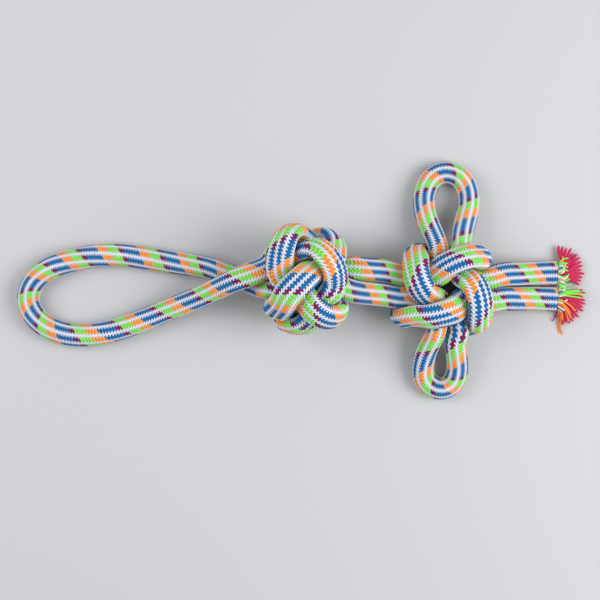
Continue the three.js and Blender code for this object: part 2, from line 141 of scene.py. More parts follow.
ballValues = {
    "rim": 1.34,
    "rimRadius": 1.36,
    "waistRadius": 1.72,
    "weave": 0.44,
    "legs": [[0.3, 0.4, 0.5, 0.6, 0.7, 0.82, 0.92], [0.08, 0.18, 0.3, 0.4, 0.5, 0.6, 0.7, 0.82, 0.92]],
    "leadIn": [(-2.15, 0.5), (-1.7, 0.56), (-1.28, 0.85)],
    "wrap": [(0, 1.25, 4), (-0.04, 1, 30), (0.2, 0.72, 62)],
    "wrapAngle": 74,
    "leadOut": [(-0.7, 0.52, 0.25), (-0.1, 0.48, 0.45), (0.6, 0.48, 0.7), (1.25, 0.48, 0.9), (1.9, 0.5, 1)],
}
backStrand = {
    "standing": [238, 212, 192], "bights": [168, 270, 435, 526, 672], "port": 180, "wrap": -1.05,
    "rims": [1, 1, 1, 0.93, 1], "weaves": [1, 1, 0.64, 1],
}
frontStrand = {
    "standing": [52, 30, 10], "bights": [345, 452, 608, 724, 886], "port": 345, "wrap": -1.16,
    "rims": [1, 1, 1, 0.68, 1], "weaves": [1, 1, 0.95, 0.78],
}
arcRoute = [
    (-1.9, 0.5, 0), (-1.15, 0.58, 0.05), (-0.35, 0.98, 0.75), (0.5, 1.16, 1),
    (1.25, 1.4, 0.82), (1.68, 1.42, 0.1), (1.4, 0.9, -0.75), (1.12, 0.1, -1),
    (1, -0.55, -0.7), (0.55, -1.15, -0.05), (0.5, -1.85, 0),
]
frontWeights = [0, 0, 0.8, 1, 0.5, 0, 0, 0, 0, 0, 0]
cornerWeights = [0, 0, 0, 0.2, 0.8, 1, 0.6, 0.1, 0, 0, 0]
arcShifts = {  # quarters turned, shift of the front, shift of the corner
    "top": (0, (-0.08, -0.08), (-0.42, 0)),
    "left": (1, (-0.2, 0), (-0.2, 0.02)),
    "bottom": (2, (-0.2, 0.12), (-0.6, 0.12)),
    "right": (3, (-0.16, 0.05), (-0.14, 0.22)),
}
waistUpper = [(2.45, 0.52, 2.16), (3.1, 0.46, 1.86), (3.8, 0.38, 1.55)]
waistLower = [(2.45, -0.5, 2.16), (3.1, -0.55, 1.86), (3.8, -0.62, 1.55)]
topEar = [
    (6.1, 1.95, 1.2), (5.78, 2.75, 0.9), (5.62, 3.55, 0.6), (5.7, 4.25, 0.44),
    (6.04, 4.86, 0.4), (6.66, 5.1, 0.4), (7.32, 4.86, 0.4), (7.68, 4.25, 0.44),
    (7.72, 3.5, 0.6), (7.5, 2.7, 0.9), (7.3, 1.95, 1.2),
]
bottomEar = [
    (6, -2.65, 1.2), (5.7, -3.35, 0.86), (5.58, -4, 0.58), (5.68, -4.6, 0.43),
    (6.1, -4.98, 0.4), (6.6, -5.02, 0.4), (7.02, -4.72, 0.43), (7.2, -4.1, 0.58),
    (7.12, -3.4, 0.86), (7.02, -2.65, 1.2),
]
tailUpper = [
    (9.2, 0.26, 1.1), (9.9, 0.28, 0.82), (10.6, 0.32, 0.58), (11.25, 0.34, 0.43), (11.85, 0.34, 0.4),
]
tailLower = [
    (9.2, -0.8, 1.1), (9.9, -0.8, 0.82), (10.6, -0.78, 0.58), (11.25, -0.8, 0.43), (11.85, -0.82, 0.4),
]


def ballPoint(x, radius, angle):
    turn = math.radians(angle)
    cx, cy, cz = ballCentre
    return (cx + x, cy + radius * math.cos(turn), cz + radius * math.sin(turn))


def ballStrand(strand):
    # in at the left pole, to and fro between the two rims, and out along the axis
    v = ballValues
    bights, rims = strand["bights"], strand["rims"]
    points = [ballPoint(x, r, strand["standing"][i]) for i, (x, r) in enumerate(v["leadIn"])]
    for leg, weave in enumerate(strand["weaves"]):
        side = 1 if leg % 2 == 0 else -1
        for s in v["legs"][min(leg, 1)]:
            swell = (v["waistRadius"] - v["rimRadius"]) * math.sin(math.pi * s) ** 2
            rim = v["rimRadius"] * (rims[leg] + (rims[leg + 1] - rims[leg]) * s)
            radius = rim + swell - v["weave"] * weave * math.sin(2 * math.pi * s)
            angle = bights[leg] + (bights[leg + 1] - bights[leg]) * s
            points.append(ballPoint(-v["rim"] * math.cos(math.pi * s) * side, radius, angle))
    inner = bights[-1] + v["wrapAngle"]
    leave = strand["port"] + 360 * round((inner - strand["port"]) / 360)
    points += [ballPoint(strand["wrap"] + x, r, bights[-1] + a) for x, r, a in v["wrap"]]
    points += [ballPoint(x, r, inner + (leave - inner) * share) for x, r, share in v["leadOut"]]
    return points


def crossArc(name):
    # one arc of the flat knot, turned from the first and shifted a little
    quarters, front, corner = arcShifts[name]
    points = []
    for (x, y, z), frontWeight, cornerWeight in zip(arcRoute, frontWeights, cornerWeights):
        for _ in range(quarters):
            x, y = -y, x
        x += front[0] * frontWeight + corner[0] * cornerWeight
        y += front[1] * frontWeight + corner[1] * cornerWeight
        points.append((crossCentre[0] + x, crossCentre[1] + y, crossCentre[2] + z))
    return points


stretches = [  # name, whether it is in a knot, way points
    ("tail_lower", 0, tailLower[::-1]),
    ("cross_arc_bottom", 1, crossArc("bottom")),
    ("top_ear", 0, topEar),
    ("cross_arc_right", 1, crossArc("right")),
    ("waist_lower", 0, waistLower[::-1]),
    ("ball_strand_back", 1, ballStrand(backStrand)[::-1]),
    ("handle", 0, [neckOut, *handleRoute, neckBack]),
    ("ball_strand_front", 1, ballStrand(frontStrand)),
    ("waist_upper", 0, waistUpper),
    ("cross_arc_top", 1, crossArc("top")),
    ("bottom_ear", 0, bottomEar[::-1]),
    ("cross_arc_left", 1, crossArc("left")),
    ("tail_upper", 0, tailUpper),
]
stretchNames = [name for name, _, _ in stretches]


def lengthsAlong(points):
    return np.concatenate([[0], np.cumsum(np.linalg.norm(np.diff(points, axis=0), axis=1))])


def evened(values, weights, mode="edge"):
    # a running mean
    reach = len(weights) // 2
    return np.convolve(np.pad(values, reach, mode=mode), weights / weights.sum(), mode="valid")


def bell(reach, width):
    return np.exp(-0.5 * (np.arange(-reach, reach + 1) / width) ** 2)


def sampleRope(step):
    # even samples of a smooth curve through all way points, and the stretch that each is in
    way = np.array([p for _, _, points in stretches for p in points], float)
    ids = np.array([i for i, (_, _, points) in enumerate(stretches) for _ in points])
    last, splits = len(way) - 1, ropeValues["curveSplits"]
    dense, denseIds = [], []
    for i in range(last):
        a, b, c, d = (way[min(max(i + k, 0), last)] for k in (-1, 0, 1, 2))
        for t in np.arange(splits) / splits:
            squared = (2 * a - 5 * b + 4 * c - d) * t**2
            cubed = (3 * b - a - 3 * c + d) * t**3
            dense.append(0.5 * (2 * b + (c - a) * t + squared + cubed))
            denseIds.append(ids[i] if t < 0.5 else ids[i + 1])
    dense = np.array(dense + [way[last]])
    denseIds = np.array(denseIds + [ids[last]])
    along = lengthsAlong(dense)
    count = round(along[-1] / step)
    target = along[-1] * np.arange(count + 1) / count
    j = np.clip(np.searchsorted(along, target, side="left") - 1, 0, len(along) - 2)
    share = (target - along[j]) / (along[j + 1] - along[j])
    points = dense[j] + share[:, None] * (dense[j + 1] - dense[j])
    return points, denseIds[np.where(share < 0.5, j, j + 1)]


tightenValues = {  # in rope diameters, as in part.mjs
    "rounds": 600,
    "pullRounds": 480,  # then the strands only push each other off
    "lookEvery": 10,  # rounds between two looks for near strands
    "near": 1.45,
    "apart": 8,  # samples of rope between two places that can touch
    "bendOver": 6,  # samples over which a bend is a diameter wide or more
    "pull": 0.1,
    "push": 0.2,
    "hold": 0.25,  # how firmly a free stretch keeps to its way points
    "knotHold": 0.012,
    "knotGain": 1.6,
    "gap": 0.0405,  # between two strands
    "foot": 0.4,  # lowest place of the centre line
}


def settle(points, grip, radii):
    # tightens the knots: touching strands push each other off, and the rope pulls straight
    v = tightenValues
    line, count = points.copy(), len(points)
    over = v["bendOver"]
    inKnot = np.minimum(1, v["knotGain"] * grip)
    hold = (v["hold"] + (v["knotHold"] - v["hold"]) * inKnot)[:, None]
    for turn in range(v["rounds"]):
        if turn % v["lookEvery"] == 0:
            apart = line[:, None, :] - line[None, :, :]
            near = np.einsum("ijk,ijk->ij", apart, apart) < v["near"] ** 2
            first, second = np.nonzero(np.triu(near, v["apart"]))
        pulling = turn < v["pullRounds"]
        move = np.zeros_like(line)
        if pulling:
            move[1:-1] += v["pull"] * ((line[:-2] + line[2:]) / 2 - line[1:-1])
        chord = line[over:] - line[:-over]
        d = np.linalg.norm(chord, axis=1)
        push = np.where(d < 1.0, v["push"] * (1.0 - d) / d, 0)[:, None] * chord
        move[over:] += push
        move[:-over] -= push
        chord = line[second] - line[first]
        d = np.linalg.norm(chord, axis=1)
        reach = radii[first] + radii[second] + v["gap"]
        push = np.where(d < reach, v["push"] * (reach - d) / d, 0)[:, None] * chord
        for k in range(3):
            move[:, k] += np.bincount(second, push[:, k], count) - np.bincount(first, push[:, k], count)
        line += move + (hold if pulling else 0) * (points - line)
        line[:, 2] = np.maximum(line[:, 2], v["foot"])
    return line


wayPoints, stretchIds = sampleRope(ropeValues["wayStep"])
inKnot = np.array([stretches[i][1] for i in stretchIds], float)
grip = evened(inKnot, np.ones(2 * ropeValues["gripReach"] + 1))
knotRadii = 0.5 + (ropeValues["squeeze"] - 0.5) * grip
settled = settle(wayPoints, grip, knotRadii) * ropeValues["diameter"]
settled[:, :2] += ropeValues["shift"]
print("rope settled,", len(settled), "samples")


# rings along the rope
def splineAt(points, u):
    # smooth curve drawn towards the samples, at places u counted in samples
    padded = np.vstack([2 * points[0] - points[1], points, 2 * points[-1] - points[-2]])
    i = np.clip(np.floor(u).astype(int), 0, len(points) - 2)
    t = (u - i)[:, None]
    weights = ((1 - t) ** 3, 3 * t**3 - 6 * t**2 + 4, -3 * t**3 + 3 * t**2 + 3 * t + 1, t**3)
    return sum(weight * padded[i + k] for k, weight in enumerate(weights)) / 6


def evenPlaces(points, step):
    # places u, counted in samples, that lie evenly spaced along the curve
    fine = np.linspace(0, len(points) - 1, (len(points) - 1) * ropeValues["ringSplits"] + 1)
    along = lengthsAlong(splineAt(points, fine))
    count = round(along[-1] / step)
    return np.interp(along[-1] * np.arange(count + 1) / count, along, fine), along[-1]


def carriedFrames(line):
    # a side direction carried along the line without turning about it, and the one square to it
    tangents = np.gradient(line, axis=0)
    tangents /= np.linalg.norm(tangents, axis=1)[:, None]
    side = np.cross([0, 0, 1.0], tangents[0])
    side = np.cross(tangents[0], side / np.linalg.norm(side))
    sides = np.zeros_like(tangents)
    for i, t in enumerate(tangents):
        side = side - t * (side @ t)
        side = side / math.sqrt(side @ side)
        sides[i] = side
    return tangents, sides, np.cross(tangents, sides)


def outwards(theta, sides, squares):
    # unit rays at the angles theta round each ring
    return np.cos(theta)[:, :, None] * sides[:, None, :] + np.sin(theta)[:, :, None] * squares[:, None, :]


places, ropeLength = evenPlaces(settled, ropeValues["ringStep"])
centres = splineAt(settled, places)
lengths = ropeLength * np.arange(len(places)) / (len(places) - 1)
tangents, sides, squares = carriedFrames(centres)
print("rope length", round(ropeLength * 1000), "mm in", len(places), "rings")

# cross sections, pressed flat where strands touch
pressValues = {
    "every": 5,  # rings between two sections
    "angles": 72,
    "wide": 0.0028,  # how much wider and flatter a hard pressed strand is
    "flat": 0.002,
    "lying": {"tail_lower": 0.6, "tail_upper": 0.6, "waist_lower": 0.5, "waist_upper": 0.5},
    "lyingLeast": 0.05,
    "lyingSamples": 9,  # over which a lying stretch becomes round
    "bendSamples": 5,
    "along": 0.03,  # length of rope between two places that can touch
    "near": 0.034,
    "touch": 0.0205,
    "touchFade": 0.004,
    "gap": 0.0003,
    "floorGap": 0.0002,
    "facing": 0.05,  # a ray at a flatter angle than this passes by
    "power": 9,
    "bendLimit": 0.86,
    "fuller": 0.08,  # share of area that a strand swells by to fill its knot
    "swells": (5, 0.9, 1.12),  # rounds, least and most scale
    "pressOver": (9, 3.5),  # sections over which the press is evened
    "pressSoft": 0.6,
    "pressGain": 3,
    "evenedAlong": (6, 1.6),
    "evenedRound": (6, 1.4),
}


def reached(facing, away, least):
    # how far a ray goes before a plane, without end where it passes by
    return np.where(facing > least, away / np.maximum(facing, least), np.inf)


def roomRound(i, c, s, size, rays, bend):
    # how far each ray goes before a neighbour, the inside of a bend or the floor, and the press felt
    v = pressValues
    room = np.full(v["angles"], np.inf)
    press = np.zeros((3, 3))
    chord = c - c[i]
    d = np.linalg.norm(chord, axis=1)
    near = (np.abs(s - s[i]) > v["along"]) & (d < v["near"])
    if near.any():
        d = d[near]
        facings = chord[near] / d[:, None]
        mine = d * size[i] / (size[i] + size[near]) - v["gap"] / 2
        room = np.min(reached(rays @ facings.T, mine, v["facing"]), axis=1)
        weight = np.clip((v["touch"] + v["touchFade"] - d) / v["touchFade"], 0, 1)
        press = np.einsum("n,nj,nk->jk", weight, facings, facings)
    room = np.minimum(room, reached(rays @ bend, v["bendLimit"], 1))
    return np.minimum(room, reached(-rays[:, 2], c[i][2] - v["floorGap"], v["facing"])), press


def pressedShape(fromPress, hard, held, room):
    # an oval that keeps its area in the room that it has
    v = pressValues
    full = ropeValues["diameter"] / 2
    thin, broad = full - v["flat"] * hard, full + v["wide"] * hard
    oval = 1 / np.hypot(np.cos(fromPress) / thin, np.sin(fromPress) / broad)
    area = full**2 * (1 + v["fuller"] * held)
    rounds, least, most = v["swells"]
    scale = 1.0
    for _ in range(rounds):
        shape = ((oval * scale) ** -v["power"] + room ** -v["power"]) ** (-1 / v["power"])
        scale = min(most, max(least, scale * math.sqrt(area / np.mean(shape**2))))
    return shape


def pressedSections():
    v = pressValues
    rows = np.arange(0, len(places), v["every"])
    if rows[-1] != len(places) - 1:
        rows = np.append(rows, len(places) - 1)
    c, a, b, t, s = centres[rows], sides[rows], squares[rows], tangents[rows], lengths[rows]
    size = np.interp(places[rows], np.arange(len(knotRadii)), knotRadii)
    held = np.interp(places[rows], np.arange(len(grip)), grip)
    lying = evened([v["lying"].get(stretchNames[i], 0.0) for i in stretchIds], np.ones(v["lyingSamples"]))
    lying = np.interp(places[rows], np.arange(len(lying)), lying)
    bend = np.apply_along_axis(evened, 0, np.gradient(t, s, axis=0), np.ones(v["bendSamples"]))
    angles = 2 * np.pi * np.arange(v["angles"]) / v["angles"]
    rays = outwards(angles[None, :], a, b)
    rooms, presses = zip(*[roomRound(i, c, s, size, rays[i], bend[i]) for i in range(len(rows))])
    press = np.apply_along_axis(evened, 0, np.array(presses), bell(*v["pressOver"]))
    aa, ab, bb = (np.einsum("ij,ijk,ik->i", x, press, y) for x, y in ((a, a), (a, b), (b, b)))
    lean = np.hypot(2 * ab, aa - bb) / (aa + bb + v["pressSoft"])
    pressAngle = 0.5 * np.arctan2(2 * ab, aa - bb)
    pressAngle = np.where(lying > v["lyingLeast"], np.arctan2(b[:, 2], a[:, 2]), pressAngle)
    hard = np.maximum(np.clip(v["pressGain"] * lean, 0, 1) * held, lying)
    shapes = [pressedShape(angles - pressAngle[i], hard[i], held[i], rooms[i]) for i in range(len(rows))]
    shapes = np.apply_along_axis(evened, 0, np.array(shapes), bell(*v["evenedAlong"]))
    return rows, np.apply_along_axis(evened, 1, shapes, bell(*v["evenedRound"]), "wrap")


sectionRows, sections = pressedSections()
print(len(sectionRows), "sections pressed")

# the braid
braidValues = {
    "pitch": 0.00246,  # length of a stitch
    "columns": 16,
    "offset": 0.25,  # of a stitch, by which each yarn is set off from its column's middle
    "weaveHeight": 0.0004,  # how far a yarn dives between over and under
    "yarnHeight": 0.00072,  # bulge of one yarn
    "yarnRound": 1.15,
    "wider": 0.08,  # how far the coloured columns spread into the white ones
    "proud": 0.0004,
}
layValues = {
    "withinShare": 0.95,  # share of the radius within which a patch is on a strand
    "strandRings": 40,  # rings to either side that are the same strand
    "together": 0.01,  # patches closer along the rope than this are taken as one
    "evenedOver": 25,  # rings
}
purpleSeen = [  # where the middle of a purple patch shows in the photo, in pixels, read one by one
    # tails
    (513, 267), (519, 274), (525, 281), (554, 264), (559, 272), (563, 281),
    (493, 291), (498, 298), (502, 304), (535, 291), (541, 298), (545, 305),
    # arcs
    (423, 266), (418, 276), (414, 284), (447, 254), (456, 257), (466, 261), (473, 267), (460, 282),
    (467, 318), (477, 317), (486, 309), (417, 306), (422, 313), (431, 318), (438, 323),
    # top ear
    (432, 229), (426, 237), (425, 192), (416, 195), (454, 174), (450, 166), (467, 202), (476, 197),
    (450, 241), (460, 238),
    # bottom ear
    (419, 353), (429, 348), (438, 345), (434, 394), (437, 385), (453, 346), (460, 340), (451, 378),
    (461, 380),
    # waist
    (379, 265), (384, 272), (387, 281), (379, 288), (386, 297), (392, 304),
    # ball
    (274, 248), (281, 243), (291, 240), (283, 286), (278, 291), (314, 248), (315, 257), (332, 294),
    (341, 290), (295, 294), (316, 307),
    # handle
    (209, 277), (205, 268), (201, 259), (168, 267), (164, 258), (159, 251), (127, 260), (122, 251),
    (86, 258), (80, 251), (55, 271), (47, 265), (23, 292), (32, 289), (37, 323), (37, 332),
    (72, 330), (78, 339), (113, 322), (120, 329), (130, 332), (154, 308), (162, 314), (170, 318),
    (196, 291), (204, 296), (213, 301),
]


def purplePlaces():
    # length along the rope and angle round it of each purple patch, sorted along the rope
    camera = np.array(cameraValues["place"])
    wide = cameraValues["picture"]
    perMetre = cameraValues["lens"] / cameraValues["sensor"] * wide / (camera[2] - centres[:, 2])
    seen = wide / 2 + (centres[:, :2] - camera[:2]) * perMetre[:, None] * (1, -1)
    radius = ropeValues["diameter"] / 2
    most = layValues["withinShare"]
    found = []
    for place in purpleSeen:
        off = np.linalg.norm(seen - place, axis=1) / perMetre
        under = np.flatnonzero(off < most * radius)
        if not len(under):
            continue
        top = under[np.argmax(centres[under, 2])]
        near = under[np.abs(under - top) < layValues["strandRings"]]
        k = near[np.argmin(off[near])]
        right = np.cross([0, 0, 1.0], tangents[k])
        right /= np.linalg.norm(right)
        up = np.cross(tangents[k], right)
        step = (np.array(place) - seen[k]) / perMetre[k]
        share = np.clip((step[0] * right[0] - step[1] * right[1]) / radius, -most, most)
        ray = right * share + up * math.sqrt(1 - share * share)
        found.append((lengths[k], math.atan2(ray @ squares[k], ray @ sides[k])))
    return sorted(found)


def laidBraid():
    # turn and run of the braid along the rope, so that purple comes where it shows
    columns = braidValues["columns"]
    columnTurn = 4 * math.pi / columns
    firstStitch = 0.5 + braidValues["offset"]
    laid = []
    turn = run = 0.0
    for length, angle in purplePlaces():
        column = round((angle - turn) / columnTurn)
        turn = angle - column * columnTurn
        wanted = firstStitch + 2 * column - length / braidValues["pitch"]
        run = wanted + columns * round((run - wanted) / columns)
        laid.append((length, turn, run))
    laid = np.array(laid)
    apart = np.flatnonzero(np.diff(laid[:, 0]) >= layValues["together"]) + 1
    at, turns, runs = np.array([group.mean(axis=0) for group in np.split(laid, apart)]).T
    weights = bell(3 * layValues["evenedOver"], layValues["evenedOver"])
    return [evened(np.interp(lengths, at, values), weights) for values in (turns, runs)]


braidTurn, braidRun = laidBraid()
stitches = lengths / braidValues["pitch"] + braidRun


def braidHeights(u, q):
    # heights of the coloured and of the white yarns, at u stitches along and q columns round the rope
    v = braidValues
    q = q - v["wider"] * np.sin(np.pi * q)
    heights = []
    for phase, column in ((u - q - v["offset"], q), (u + q + v["offset"], q - 1)):
        across = phase - np.round(phase)
        bulge = 1 - np.abs(2 * across) ** v["yarnRound"]
        heights.append(v["weaveHeight"] * np.cos(np.pi * column) ** 3 + v["yarnHeight"] * bulge)
    return heights


def sectionRadii(theta):
    # radius of the pressed rope at the angles theta of each ring
    angles = pressValues["angles"]
    row = np.interp(np.arange(len(lengths)), sectionRows, np.arange(len(sectionRows)))
    r0 = np.clip(np.floor(row).astype(int), 0, len(sectionRows) - 2)[:, None]
    rowShare = row[:, None] - r0
    column = (theta / (2 * np.pi) % 1) * angles
    c0 = np.floor(column).astype(int) % angles
    c1 = (c0 + 1) % angles
    share = column - np.floor(column)
    radii = (1 - rowShare) * ((1 - share) * sections[r0, c0] + share * sections[r0, c1])
    return radii + rowShare * ((1 - share) * sections[r0 + 1, c0] + share * sections[r0 + 1, c1])


def coverPoints():
    v = braidValues
    roundAngles = 2 * np.pi * np.arange(ropeValues["sides"]) / ropeValues["sides"]
    q = np.broadcast_to(v["columns"] * roundAngles / (2 * np.pi), (len(lengths), len(roundAngles)))
    coloured, white = braidHeights(np.broadcast_to(stitches[:, None], q.shape), q)
    relief = np.maximum(coloured, white) - (v["weaveHeight"] + v["yarnHeight"] - v["proud"])
    theta = roundAngles[None, :] + braidTurn[:, None]
    radius = (sectionRadii(theta) + relief)[:, :, None]
    points = centres[:, None, :] + radius * outwards(theta, sides, squares)
    points[:, :, 2] = np.maximum(points[:, :, 2], ropeValues["floorGap"])
    return points


def coverNormals():
    # outward directions of the whole cover, so that its lengths meet without a seam
    tiny = 1e-12
    along = np.gradient(coverRings, axis=0)
    around = np.roll(coverRings, -1, axis=1) - np.roll(coverRings, 1, axis=1)
    normals = np.cross(around, along)
    return normals / np.maximum(np.linalg.norm(normals, axis=2), tiny)[:, :, None]


coverRings = coverPoints()
ringNormals = coverNormals()
print("braid laid")


# materials
class YarnNodes:
    # a new material, short names for its nodes, and its places along and round on the braid's map
    def __init__(self, name):
        self.material = bpy.data.materials.new(name)
        self.material.use_nodes = True
        self.tree = self.material.node_tree
        self.place = self.put("ShaderNodeUVMap", uv_map="braid")
        split = self.tree.nodes.new("ShaderNodeSeparateXYZ")
        self.tree.links.new(self.place, split.inputs[0])
        self.along, self.round, _ = split.outputs

    def put(self, kind, *values, **settings):
        node = self.tree.nodes.new(kind)
        for name, value in settings.items():
            setattr(node, name, value)
        for socket, value in zip(node.inputs, values):
            if isinstance(value, bpy.types.NodeSocket):
                self.tree.links.new(value, socket)
            elif value is not None:
                socket.default_value = value
        return node.outputs[0]

    def do(self, operation, *values):
        return self.put("ShaderNodeMath", *values, operation=operation)


def colourBands(m, factor, rows):
    # one plain colour from each row's place to the next
    ramp = m.tree.nodes.new("ShaderNodeValToRGB")
    ramp.color_ramp.interpolation = "CONSTANT"
    while len(ramp.color_ramp.elements) < len(rows):
        ramp.color_ramp.elements.new(0.5)
    for element, (place, colour) in zip(ramp.color_ramp.elements, rows):
        element.position = place
        element.color = linear(colour)
    m.tree.links.new(factor, ramp.inputs[0])
    return ramp.outputs[0]


noiseValues = {"spread": (0.25, 0.75), "wideSpread": (0.2, 0.8), "scale": 1.0}


def yarnFinish(m, v, colour, shade, streak, height):
    # colour times a shade factor (random tone, and on the cover painted shade too), roughness that follows
    # the filaments, a little gloss and sheen, and relief
    link, shader = m.tree.links.new, m.tree.nodes["Principled BSDF"]
    shaded = m.put("ShaderNodeVectorMath", colour, None, None, shade, operation="SCALE")
    link(shaded, shader.inputs["Base Color"])
    rough = m.put("ShaderNodeMapRange", streak, *noiseValues["wideSpread"], *v["roughness"])
    link(rough, shader.inputs["Roughness"])
    shader.inputs["Specular IOR Level"].default_value = v["gloss"]
    shader.inputs["Sheen Weight"].default_value = v["sheen"]
    shader.inputs["Sheen Roughness"].default_value = 0.5
    bump = m.tree.nodes.new("ShaderNodeBump")
    bump.inputs["Strength"].default_value = v["bumpStrength"]
    bump.inputs["Distance"].default_value = v["bumpDepth"]
    link(height, bump.inputs["Height"])
    link(bump.outputs[0], shader.inputs["Normal"])


braidColours = [  # coloured yarn at which each colour starts, and the colour
    (0, (122, 14, 94)),
    (2, (130, 229, 78)),
    (6, (255, 152, 58)),
    (10, (0, 108, 172)),
]
coverValues = {
    "white": (229, 229, 238),
    "roughness": (0.74, 0.9),
    "gloss": 0.3,
    "sheen": 0.02,
    "streak": 0.04,  # how far the filaments differ
    "streakDetail": 2.0,
    "streakAcross": 9.0,  # filaments over a yarn's width
    "streakAlong": 0.5,
    "streakStep": 3.7,  # so that each yarn has filaments of its own
    "yarnTints": (0.94, 1.04),  # darkest and lightest yarn
    "shade": 0.5,  # painted shade: how much darker the yarns are painted where they dive
    "paintedShadeFromTo": (0.1, 0.85),  # heights in millimetres, over which the painted shade fades
    "bumpStrength": 0.6,
    "bumpDepth": 0.0004,
    "bumpWeave": 0.7,
    "bumpStreak": 0.35,
}


def yarnNodes(m, phase, column):
    # number of the yarn at a place, how far across it the place is, and its height in millimetres
    v = braidValues
    number = m.do("FLOOR", m.do("ADD", phase, 0.5))
    across = m.do("SUBTRACT", phase, number)
    over = m.do("COSINE", m.do("MULTIPLY", column, math.pi))
    cubed = m.do("MULTIPLY", over, m.do("MULTIPLY", over, over))
    wave = m.do("MULTIPLY", cubed, v["weaveHeight"] * 1000)
    edge = m.do("POWER", m.do("MULTIPLY", m.do("ABSOLUTE", across), 2.0), v["yarnRound"])
    height = m.do("MULTIPLY_ADD", m.do("SUBTRACT", 1.0, edge), v["yarnHeight"] * 1000, wave)
    return number, across, height


def coverMaterial():
    v, yarns = coverValues, float(braidValues["columns"])
    m = YarnNodes("braided_cover")
    u, q = m.along, m.round
    q = m.do("MULTIPLY_ADD", m.do("SINE", m.do("MULTIPLY", q, math.pi)), -braidValues["wider"], q)
    colourPhase = m.do("SUBTRACT", m.do("SUBTRACT", u, q), braidValues["offset"])
    whitePhase = m.do("ADD", m.do("ADD", u, q), braidValues["offset"])
    colourNumber, colourAcross, colourHeight = yarnNodes(m, colourPhase, q)
    whiteNumber, whiteAcross, whiteHeight = yarnNodes(m, whitePhase, m.do("SUBTRACT", q, 1.0))
    isColoured = m.do("GREATER_THAN", colourHeight, whiteHeight)
    yarn = m.do("DIVIDE", m.do("FLOORED_MODULO", colourNumber, yarns), yarns)
    starts = [(max(0.0, (start - 0.5) / yarns), colour) for start, colour in braidColours]
    bands = colourBands(m, yarn, starts)

    # fine filaments along each yarn
    number = m.put("ShaderNodeMix", isColoured, None, whiteNumber, colourNumber)
    across = m.put("ShaderNodeMix", isColoured, None, whiteAcross, colourAcross)
    streakAcross = m.do("MULTIPLY_ADD", number, v["streakStep"], m.do("MULTIPLY", across, v["streakAcross"]))
    streakAlong = m.do("MULTIPLY", q, v["streakAlong"])
    streakPlace = m.put("ShaderNodeCombineXYZ", streakAcross, streakAlong, 0.0)
    streak = m.put("ShaderNodeTexNoise", streakPlace, None, noiseValues["scale"], v["streakDetail"])
    tint = m.put("ShaderNodeTexWhiteNoise", None, number, noise_dimensions="1D")
    top = m.do("MAXIMUM", colourHeight, whiteHeight)
    # painted shade: the colour is darker where the top yarn lies low, in the valleys between the stitches
    depth = m.put("ShaderNodeMapRange", top, *v["paintedShadeFromTo"], 1 - v["shade"], 1.0)
    streakShades = (1 - v["streak"], 1 + v["streak"] / 2)
    streakShade = m.put("ShaderNodeMapRange", streak, *noiseValues["spread"], *streakShades)
    tintShade = m.put("ShaderNodeMapRange", tint, 0.0, 1.0, *v["yarnTints"])
    # painted shade in the valleys, times the filaments' and the yarns' own tones
    shade = m.do("MULTIPLY", m.do("MULTIPLY", depth, streakShade), tintShade)
    yarnColour = m.tree.nodes.new("ShaderNodeMix")
    yarnColour.data_type = "RGBA"
    m.tree.links.new(isColoured, yarnColour.inputs[0])
    yarnColour.inputs[6].default_value = linear(v["white"])
    m.tree.links.new(bands, yarnColour.inputs[7])
    relief = m.do("ADD", m.do("MULTIPLY", top, v["bumpWeave"]), m.do("MULTIPLY", streak, v["bumpStreak"]))
    yarnFinish(m, v, yarnColour.outputs[2], shade, streak, relief)
    return m.material


yarnValues = {
    "laneLength": 50.0,  # of the map, from one yarn's start to the next
    "streakScale": (0.6, 9.0, 1.0),
    "streakDetail": 3.0,
    "variation": 0.12,
    "roughness": (0.7, 0.9),
    "gloss": 0.3,
    "sheen": 0.25,
    "bumpStrength": 0.5,
    "bumpDepth": 0.0003,
}


def yarnMaterial(name, colours, lanes):
    # loose yarns side by side on the map: bands of colour by lane, and streaks along each thread
    v = yarnValues
    m = YarnNodes(name)
    stretched = m.put("ShaderNodeVectorMath", m.place, v["streakScale"], operation="MULTIPLY")
    streak = m.put("ShaderNodeTexNoise", stretched, None, noiseValues["scale"], v["streakDetail"])
    shades = (1 - v["variation"] * 2, 1 + v["variation"])
    shade = m.put("ShaderNodeMapRange", streak, *noiseValues["spread"], *shades)
    lane = m.do("DIVIDE", m.do("FLOOR", m.do("DIVIDE", m.along, v["laneLength"])), float(lanes))
    yarnFinish(m, v, colourBands(m, lane, colours), shade, streak, streak)
    return m.material


cover = coverMaterial()
print("materials made")


# meshes
def meshFrom(name, points, faces, braidMap, bakeMap, material, flatFaces=(), normals=None):
    # an object from vertices, blocks of faces, and two maps with a place for each corner
    corners = np.concatenate([block.ravel() for block in faces])
    sizes = np.concatenate([np.full(len(block), block.shape[1]) for block in faces])
    mesh = bpy.data.meshes.new(name)
    mesh.vertices.add(len(points))
    mesh.vertices.foreach_set("co", np.asarray(points, np.float32).ravel())
    mesh.loops.add(len(corners))
    mesh.loops.foreach_set("vertex_index", corners.astype(np.int32))
    mesh.polygons.add(len(sizes))
    mesh.polygons.foreach_set("loop_start", (np.cumsum(sizes) - sizes).astype(np.int32))
    mesh.update(calc_edges=True)
    smooth = np.ones(len(sizes), bool)
    smooth[list(flatFaces)] = False
    mesh.polygons.foreach_set("use_smooth", smooth)
    for mapName, cornerPlaces in (("braid", braidMap), ("OFBake", bakeMap)):
        layer = mesh.uv_layers.new(name=mapName)
        layer.data.foreach_set("uv", np.asarray(cornerPlaces, np.float32).ravel())
    mesh.materials.append(material)
    mesh.validate()
    if normals is not None:
        mesh.normals_split_custom_set(normals)
    made = bpy.data.objects.new(name, mesh)
    scene.collection.objects.link(made)
    return made


